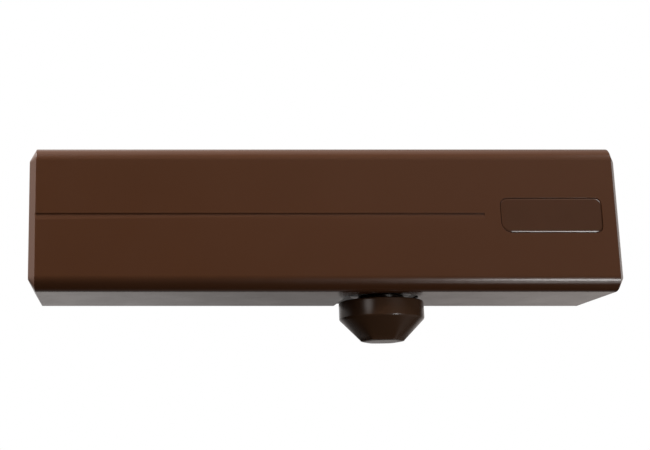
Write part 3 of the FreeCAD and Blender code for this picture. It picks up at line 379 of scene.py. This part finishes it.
def ring_chain(stations, segments):
    """A closed skin through outlines, each at its height, all round the z axis."""
    shape = bmesh.new()
    bmesh.ops.create_circle(shape, cap_ends=False, radius=1, segments=segments)
    verts, edges = shape.verts[:], shape.edges[:]
    for number, (outline, height) in enumerate(stations):
        if number:
            made = bmesh.ops.extrude_edge_only(shape, edges=edges)["geom"]
            verts = [item for item in made if isinstance(item, bmesh.types.BMVert)]
            edges = [item for item in made if isinstance(item, bmesh.types.BMEdge)
                     and all(vert in verts for vert in item.verts)]
        for vert in verts:
            angle = math.atan2(vert.co.y, vert.co.x)
            reach = outline(angle)
            vert.co = (reach * math.cos(angle), reach * math.sin(angle), height)
    bmesh.ops.holes_fill(shape, edges=[edge for edge in shape.edges if edge.is_boundary], sides=0)
    bmesh.ops.recalc_face_normals(shape, faces=shape.faces)
    return shape


def quarter(radius, steps):
    """Offsets along a quarter circle: how far in, and how far along."""
    for step in range(steps + 1):
        angle = math.pi / 2 * step / steps
        yield radius * (1 - math.sin(angle)), radius * (1 - math.cos(angle))


def make_spindle_cap():
    """One skin from the end disc up the facets and the band, over the rim and down to the socket and its peg."""
    side = SPINDLE_TURN + math.pi / 6
    foot = polygon_of(6, 8.14, 1.6, side)
    end = polygon_of(6, 7.1, 4.4, side)
    band = ring_of(CAP_RADIUS)
    band_low = CAP_TOP - CAP_BAND_HEIGHT
    foot_low = band_low - CAP_FACET_HEIGHT
    end_low = foot_low - CAP_END_ROUND
    stations = [(mixed(end, ring_of(1.0), 0.4), end_low), (end, end_low)]
    for share in (0.35, 0.7):
        stations.append((mixed(end, foot, math.sin(share * math.pi / 2)), end_low + CAP_END_ROUND * share ** 2))
    stations.append((foot, foot_low))
    for share in (0.12, 0.25, 0.4, 0.55, 0.7, 0.82, 0.91, 0.97):
        stations.append((mixed(foot, band, share), foot_low + CAP_FACET_HEIGHT * share))
    stations += [(ring_of(CAP_RADIUS - 0.14), band_low), (ring_of(CAP_RADIUS - 0.04), band_low + 0.16)]
    stations.append((band, band_low + 0.4))
    for inward, upward in reversed(list(quarter(CAP_RIM, 7))):
        stations.append((ring_of(CAP_RADIUS - inward), CAP_TOP - upward))
    inner = CAP_RADIUS - CAP_WALL
    for inward, upward in quarter(0.4, 3):
        stations.append((ring_of(inner + inward), CAP_TOP - upward))
    hollow = CAP_TOP - CAP_HOLLOW
    stations += [(ring_of(inner), hollow + 0.4), (ring_of(inner - 0.4), hollow)]
    stations += [(ring_of(SOCKET_RADIUS + 0.4), hollow), (ring_of(SOCKET_RADIUS), hollow + 0.4)]
    stations += [(ring_of(SOCKET_RADIUS), SOCKET_MOUTH - 0.4), (ring_of(SOCKET_RADIUS - 0.1), SOCKET_MOUTH - 0.1)]
    stations.append((ring_of(SOCKET_RADIUS - 0.4), SOCKET_MOUTH))
    socket = polygon_of(4, 5.6, 0.5, SPINDLE_TURN, 7.4)
    mouth = polygon_of(4, 6.0, 0.6, SPINDLE_TURN, 7.8)
    stations += [(mouth, SOCKET_MOUTH), (socket, SOCKET_MOUTH - 0.4), (socket, SOCKET_FLOOR)]
    stations += [(ring_of(PEG_RADIUS), SOCKET_FLOOR), (ring_of(PEG_RADIUS), SOCKET_MOUTH + 1.5)]
    stations += [(ring_of(PEG_RADIUS - 0.2), SOCKET_MOUTH + 1.9), (ring_of(PEG_RADIUS - 0.6), SOCKET_MOUTH + 2.0)]
    shape = ring_chain(stations, 96)
    bmesh.ops.translate(shape, vec=(SPINDLE_X, SPINDLE_Y, 0), verts=shape.verts)
    cap = finished(shape, "faceted_spindle_cap")
    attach(cap, "cap")
    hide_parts("spindle_cap")
    return cap


def make_spring(name, radius, wire, turns, node):
    """A compression spring wound from round wire, its end turns closed and ground flat."""
    shape = bmesh.new()
    bmesh.ops.create_circle(shape, cap_ends=False, radius=wire / 2, segments=14,
                            matrix=Matrix.Rotation(math.pi / 2, 4, "X"))
    start = SPRING_LEFT + 0.3 * wire
    span = SPRING_RIGHT - SPRING_LEFT - 0.6 * wire
    bmesh.ops.translate(shape, vec=(start, 0, radius), verts=shape.verts)
    closed_pitch = wire * 1.02
    open_turns = turns - 2
    open_pitch = (span - 2 * closed_pitch) / open_turns
    ring = shape.verts[:] + shape.edges[:]
    for count, pitch in ((1, closed_pitch), (open_turns, open_pitch), (1, closed_pitch)):
        total = round(SPRING_STEPS * count)
        made = bmesh.ops.spin(shape, geom=ring, cent=(0, 0, 0), axis=(1, 0, 0),
                              dvec=(pitch * count / total, 0, 0), angle=2 * math.pi * count, steps=total,
                              use_merge=False)
        ring = made["geom_last"]
    bmesh.ops.remove_doubles(shape, verts=shape.verts, dist=1e-4)
    for end, outward in ((SPRING_LEFT, -1), (SPRING_RIGHT, 1)):
        bmesh.ops.bisect_plane(shape, geom=shape.verts[:] + shape.edges[:] + shape.faces[:],
                               plane_co=(end, 0, 0), plane_no=(outward, 0, 0), clear_outer=True)
    bmesh.ops.holes_fill(shape, edges=[edge for edge in shape.edges if edge.is_boundary], sides=0)
    bmesh.ops.recalc_face_normals(shape, faces=shape.faces)
    bmesh.ops.translate(shape, vec=(0, SPINDLE_Y, 0), verts=shape.verts)
    spring = finished(shape, name)
    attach(spring, "housing")
    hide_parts(node)
    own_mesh(spring)
    return spring


class Finish:
    """A material with a shader to set and nodes to add."""

    def __init__(self, name):
        self.material = bpy.data.materials.new(name)
        self.material.use_nodes = True
        self.tree = self.material.node_tree
        self.shader = self.tree.nodes["Principled BSDF"]
        self.coordinates = self.node("ShaderNodeTexCoord").outputs["Object"]

    def node(self, kind, **settings):
        """A new node with its settings."""
        node = self.tree.nodes.new(kind)
        for name, setting in settings.items():
            setattr(node, name, setting)
        return node

    def link(self, output, socket):
        self.tree.links.new(output, socket)

    def set(self, **values):
        """Give the shader's sockets one value each, named with _ for a space."""
        for name, value in values.items():
            self.shader.inputs[name.replace("_", " ")].default_value = value

    def stretched(self, stretch):
        """The piece's own coordinates, scaled along each axis."""
        mapping = self.node("ShaderNodeMapping")
        mapping.inputs["Scale"].default_value = stretch
        self.link(self.coordinates, mapping.inputs["Vector"])
        return mapping.outputs["Vector"]

    def noise(self, scale, detail=3.0, roughness=0.5, stretch=None):
        """Noise from 0 to 1, by place on the piece. scale is in features per metre."""
        noise = self.node("ShaderNodeTexNoise")
        noise.inputs["Scale"].default_value = scale
        noise.inputs["Detail"].default_value = detail
        noise.inputs["Roughness"].default_value = roughness
        self.link(self.stretched(stretch) if stretch else self.coordinates, noise.inputs["Vector"])
        return noise.outputs["Fac"]

    def between(self, share, low, high, start=0.3, stop=0.7):
        """A number that goes from low to high as share goes from start to stop."""
        spread = self.node("ShaderNodeMapRange")
        for name, value in (("From Min", start), ("From Max", stop), ("To Min", low), ("To Max", high)):
            spread.inputs[name].default_value = value
        self.link(share, spread.inputs["Value"])
        return spread.outputs["Result"]

    def colours(self, share, one, other, start=0.3, stop=0.7):
        """A colour that goes from one to the other."""
        ramp = self.node("ShaderNodeValToRGB")
        ramp.color_ramp.elements[0].position = start
        ramp.color_ramp.elements[1].position = stop
        ramp.color_ramp.elements[0].color = (*one, 1)
        ramp.color_ramp.elements[1].color = (*other, 1)
        self.link(share, ramp.inputs["Fac"])
        self.link(ramp.outputs["Color"], self.shader.inputs["Base Color"])

    def bump(self, height, distance, strength=1.0):
        """Relief from a height, where 1 stands for distance in metres. More than one adds up."""
        bump = self.node("ShaderNodeBump")
        bump.inputs["Strength"].default_value = strength
        bump.inputs["Distance"].default_value = distance
        self.link(height, bump.inputs["Height"])
        taken = self.shader.inputs["Normal"].links
        if taken:
            self.link(taken[0].from_socket, bump.inputs["Normal"])
        self.link(bump.outputs["Normal"], self.shader.inputs["Normal"])


def cover_plastic():
    """Satin brown plastic with a fine moulded grain."""
    finish = Finish("satin_brown_plastic")
    finish.colours(finish.noise(9, 4, 0.6), (0.0715, 0.0273, 0.0120), (0.0765, 0.0293, 0.0130))
    finish.link(finish.between(finish.noise(60, 3, 0.6), 0.22, 0.26), finish.shader.inputs["Roughness"])
    finish.bump(finish.noise(1700, 2, 0.5), 0.00001, 0.5)
    finish.set(IOR=1.5)
    return finish.material


def badge_plastic():
    """The cover's plastic again, a little darker and smoother."""
    finish = Finish("smooth_badge_plastic")
    finish.colours(finish.noise(60, 3, 0.6), (0.060, 0.0242, 0.0116), (0.064, 0.0258, 0.0124))
    finish.link(finish.between(finish.noise(200, 3, 0.6), 0.20, 0.25), finish.shader.inputs["Roughness"])
    finish.bump(finish.noise(1700, 2, 0.5), 0.00001, 0.3)
    finish.set(IOR=1.5)
    return finish.material


def cap_plastic():
    """Smooth brown plastic, darker and greyer than the cover."""
    finish = Finish("smooth_cap_plastic")
    finish.colours(finish.noise(30, 4, 0.6), (0.059, 0.0285, 0.0148), (0.065, 0.0315, 0.0164))
    finish.link(finish.between(finish.noise(150, 3, 0.6), 0.22, 0.27), finish.shader.inputs["Roughness"])
    finish.bump(finish.noise(1500, 2, 0.5), 0.00001, 0.35)
    finish.set(IOR=1.5)
    return finish.material


def painted_casting():
    """Die-cast aluminium in a satin dark brown, its skin slightly uneven. The dark brown is painted shade: it
    keeps the gap above the spindle cap as dark as shade.
    """
    finish = Finish("dark_casting_painted_shade")
    # Painted shade: the housing is coloured dark brown so that what shows through the gap above the spindle cap
    # renders black
    finish.colours(finish.noise(60, 5, 0.6), (0.036, 0.0255, 0.0200), (0.044, 0.0305, 0.0240), 0.35, 0.65)
    finish.link(finish.between(finish.noise(300, 4, 0.6), 0.34, 0.48), finish.shader.inputs["Roughness"])
    finish.bump(finish.noise(900, 4, 0.6), 0.00004, 0.5)
    finish.bump(finish.noise(160, 2, 0.5), 0.0001, 0.4)
    finish.set(IOR=1.5)
    return finish.material


def turned_metal(name, dark, light, rough, lines, stretch, depth=0.00002):
    """Bare metal with fine tool marks. lines is how many to the metre, and stretch draws them out."""
    finish = Finish(name)
    marks = finish.noise(lines, 3, 0.6, stretch=stretch)
    finish.colours(marks, dark, light)
    finish.link(finish.between(finish.noise(90, 4, 0.6), rough[0], rough[1]), finish.shader.inputs["Roughness"])
    finish.bump(marks, depth, 0.5)
    finish.set(Metallic=1.0)
    return finish.material


def rubber():
    """Matt black rubber of the seals and rings."""
    finish = Finish("black_seal_rubber")
    finish.colours(finish.noise(300, 3, 0.6), (0.012, 0.012, 0.013), (0.022, 0.022, 0.023))
    finish.link(finish.between(finish.noise(700, 3, 0.6), 0.5, 0.68), finish.shader.inputs["Roughness"])
    finish.bump(finish.noise(2500, 2, 0.5), 0.00003, 0.5)
    return finish.material


FINISHES = {
    "cover_plastic": cover_plastic(),
    "badge_plastic": badge_plastic(),
    "cap_plastic": cap_plastic(),
    "painted_casting": painted_casting(),
    "machined_steel": turned_metal("machined_steel", (0.33, 0.33, 0.34), (0.46, 0.46, 0.47), (0.24, 0.36), 900,
                                   (1, 0.1, 1)),
    "plated_steel": turned_metal("zinc_plated_steel", (0.50, 0.50, 0.50), (0.62, 0.61, 0.585), (0.28, 0.42), 500,
                                 (1, 1, 1)),
    "spring_steel": turned_metal("drawn_spring_steel", (0.13, 0.13, 0.14), (0.21, 0.21, 0.22), (0.3, 0.42), 1200,
                                 (1, 0.15, 0.15)),
    "bearing_bronze": turned_metal("bearing_bronze", (0.42, 0.26, 0.11), (0.55, 0.36, 0.16), (0.35, 0.5), 1500,
                                   (1, 1, 1), 0.00004),
    "valve_brass": turned_metal("turned_brass", (0.62, 0.45, 0.18), (0.74, 0.56, 0.25), (0.22, 0.34), 1100,
                                (1, 0.2, 0.2)),
    "seal_rubber": rubber(),
    "ball_steel": turned_metal("polished_ball_steel", (0.66, 0.66, 0.68), (0.74, 0.74, 0.76), (0.08, 0.14), 700,
                               (1, 1, 1), 0.000004),
}


def dress_nodes():
    """Give every CAD node the finish of its slot."""
    for part in frame["record"]["subparts"]:
        node = frame["nodes"][part["node"]]
        for holder in node.material_slots:
            holder.material = FINISHES[part["material_slot"]]


def area_light(name, place, target, size, radiance):
    """A soft rectangular light that faces a target."""
    lamp = bpy.data.lights.new(name, "AREA")
    lamp.shape = "RECTANGLE"
    lamp.size, lamp.size_y = size
    lamp.energy = 4 * radiance * size[0] * size[1]
    light = bpy.data.objects.new(name, lamp)
    light.location = place
    light.rotation_euler = (Vector(target) - Vector(place)).to_track_quat("-Z", "Y").to_euler()
    bpy.context.scene.collection.objects.link(light)
    return light


def make_floor():
    """A pale floor that keeps the closer's shadow, fades into the white all round and is open from below."""
    shape = bmesh.new()
    bmesh.ops.create_grid(shape, x_segments=1, y_segments=1, size=3.0)
    bmesh.ops.translate(shape, vec=(0, 0, FLOOR_HEIGHT), verts=shape.verts)
    floor = loose_object(shape, "floor")
    finish = Finish("pale_floor")
    finish.colours(finish.noise(3, 2, 0.5), (0.80, 0.80, 0.80), (0.82, 0.82, 0.82))
    finish.set(Roughness=0.9)
    away = finish.node("ShaderNodeVectorMath", operation="LENGTH")
    finish.link(finish.coordinates, away.inputs[0])
    fade = finish.node("ShaderNodeMapRange", interpolation_type="SMOOTHSTEP")
    fade.inputs["From Min"].default_value = FADE_START
    fade.inputs["From Max"].default_value = FADE_END
    finish.link(away.outputs["Value"], fade.inputs["Value"])
    white = finish.node("ShaderNodeEmission")
    finish.link(finish.node("ShaderNodeLightPath").outputs["Is Camera Ray"], white.inputs["Strength"])
    faded, opened = finish.node("ShaderNodeMixShader"), finish.node("ShaderNodeMixShader")
    finish.link(fade.outputs["Result"], faded.inputs["Fac"])
    finish.link(finish.shader.outputs["BSDF"], faded.inputs[1])
    finish.link(white.outputs["Emission"], faded.inputs[2])
    finish.link(finish.node("ShaderNodeNewGeometry").outputs["Backfacing"], opened.inputs["Fac"])
    finish.link(faded.outputs["Shader"], opened.inputs[1])
    finish.link(finish.node("ShaderNodeBsdfTransparent").outputs["BSDF"], opened.inputs[2])
    finish.link(opened.outputs["Shader"], finish.tree.nodes["Material Output"].inputs["Surface"])
    floor.data.materials.append(finish.material)
    floor.visible_diffuse = False
    floor.visible_glossy = False
    floor.visible_shadow = False


def direction(azimuth, elevation):
    """The direction at so many degrees to the right of the front, and above the horizon."""
    turn, rise = math.radians(azimuth), math.radians(elevation)
    return (math.sin(turn) * math.cos(rise), -math.cos(turn) * math.cos(rise), math.sin(rise))


# Soft glows round the closer: azimuth and elevation, half-width, and level
GLOWS = (
    (-122, 22, 35, 0.70),
    (-150, 45, 35, 1.15),
    (0, 90, 35, 0.80),
    (150, 45, 35, 0.50),
    (148, 2, 30, 0.72),
    (180, 5, 35, 0.06),
    (-165, 2, 30, 0.56),
    (30, 32, 35, 0.25),
    (180, -35, 35, 0.15),
    (90, -35, 35, 0.20),
    (-46, 9, 14, 2.5),
)

# The part of the surroundings that the camera sees behind the closer, as one more glow
BACKDROP = (180, 15, 27, 1.0)


def make_world():
    """White to the camera, and behind the closer to its reflections. The rest is a dark studio with soft glows."""
    world = bpy.data.worlds.new("studio")
    bpy.context.scene.world = world
    world.use_nodes = True
    tree = world.node_tree
    tree.nodes.clear()

    def node(kind, **settings):
        made = tree.nodes.new(kind)
        for name, setting in settings.items():
            setattr(made, name, setting)
        return made

    coordinates = node("ShaderNodeTexCoord").outputs["Generated"]

    def glow(azimuth, elevation, half_width, strength):
        """A soft round patch of the surroundings, as a level by direction."""
        facing = node("ShaderNodeVectorMath", operation="DOT_PRODUCT")
        tree.links.new(coordinates, facing.inputs[0])
        facing.inputs[1].default_value = direction(azimuth, elevation)
        spread = node("ShaderNodeMapRange", interpolation_type="SMOOTHSTEP")
        spread.inputs["From Min"].default_value = math.cos(math.radians(half_width))
        spread.inputs["To Max"].default_value = strength
        tree.links.new(facing.outputs["Value"], spread.inputs["Value"])
        return spread.outputs["Result"]

    def combined(operation, one, other):
        """Two levels made one."""
        made = node("ShaderNodeMath", operation=operation)
        tree.links.new(one, made.inputs[0])
        tree.links.new(other, made.inputs[1])
        return made.outputs["Value"]

    level = glow(*GLOWS[0])
    for place in GLOWS[1:]:
        level = combined("ADD", level, glow(*place))
    surroundings, white = node("ShaderNodeBackground"), node("ShaderNodeBackground")
    surroundings.inputs["Color"].default_value = (1.0, 0.93, 0.895, 1)
    white.inputs["Color"].default_value = (1, 1, 1, 1)
    tree.links.new(level, surroundings.inputs["Strength"])
    rays = node("ShaderNodeLightPath").outputs
    reflected = combined("MULTIPLY", rays["Is Glossy Ray"], glow(*BACKDROP))
    seen = combined("MAXIMUM", rays["Is Camera Ray"], rays["Is Transmission Ray"])
    choose = node("ShaderNodeMixShader")
    tree.links.new(combined("MAXIMUM", seen, reflected), choose.inputs["Fac"])
    tree.links.new(surroundings.outputs["Background"], choose.inputs[1])
    tree.links.new(white.outputs["Background"], choose.inputs[2])
    tree.links.new(choose.outputs["Shader"], node("ShaderNodeOutputWorld").inputs["Surface"])


def make_camera():
    """The view of the photo: from the front, below the closer and left of its middle."""
    data = bpy.data.cameras.new("camera")
    data.lens = 64.12
    data.sensor_width = 36.0
    data.shift_x = 0.308
    data.clip_start = 0.01
    camera = bpy.data.objects.new("camera", data)
    camera.location = (-0.0819, -0.5098, -0.0998)
    camera.rotation_euler = (math.radians(101.80), 0, 0)
    bpy.context.scene.collection.objects.link(camera)
    bpy.context.scene.camera = camera


def make_lights():
    """Two soft lamps from the left, one from the right, and two that light the lower front edge."""
    middle = Vector((0.0, -0.03, 0.0))
    for name, azimuth, elevation, size, radiance in (
        ("left_key_light", -72, 45, 0.6, 16.8),
        ("left_front_light", -48, 48, 0.5, 5.2),
        ("right_key_light", 62, 35, 0.5, 4.2),
    ):
        area_light(name, middle + 1.2 * Vector(direction(azimuth, elevation)), middle, (size, size), radiance)
    lower_edge = (0.09, -0.04, -0.03)
    area_light("edge_light", (0.41, -0.65, -0.35), lower_edge, (0.22, 0.14), 14.5)
    area_light("lower_edge_light", (0.42, -0.65, -0.68), lower_edge, (0.20, 0.20), 2.9)


cover = make_cover()
badge_plate = make_badge_plate()
cap = make_spindle_cap()
outer_spring = make_spring("outer_closing_spring", 14.5, 5.0, 6.5, "outer_spring")
inner_spring = make_spring("inner_closing_spring", 9.45, 3.5, 9.5, "inner_spring")
dress_nodes()
for piece, slot in ((cover, "cover_plastic"), (badge_plate, "badge_plastic"), (cap, "cap_plastic"),
                    (outer_spring, "spring_steel"), (inner_spring, "spring_steel")):
    piece.data.materials.append(FINISHES[slot])

make_floor()
make_world()
make_camera()
make_lights()
bpy.context.scene.view_settings.view_transform = "Standard"
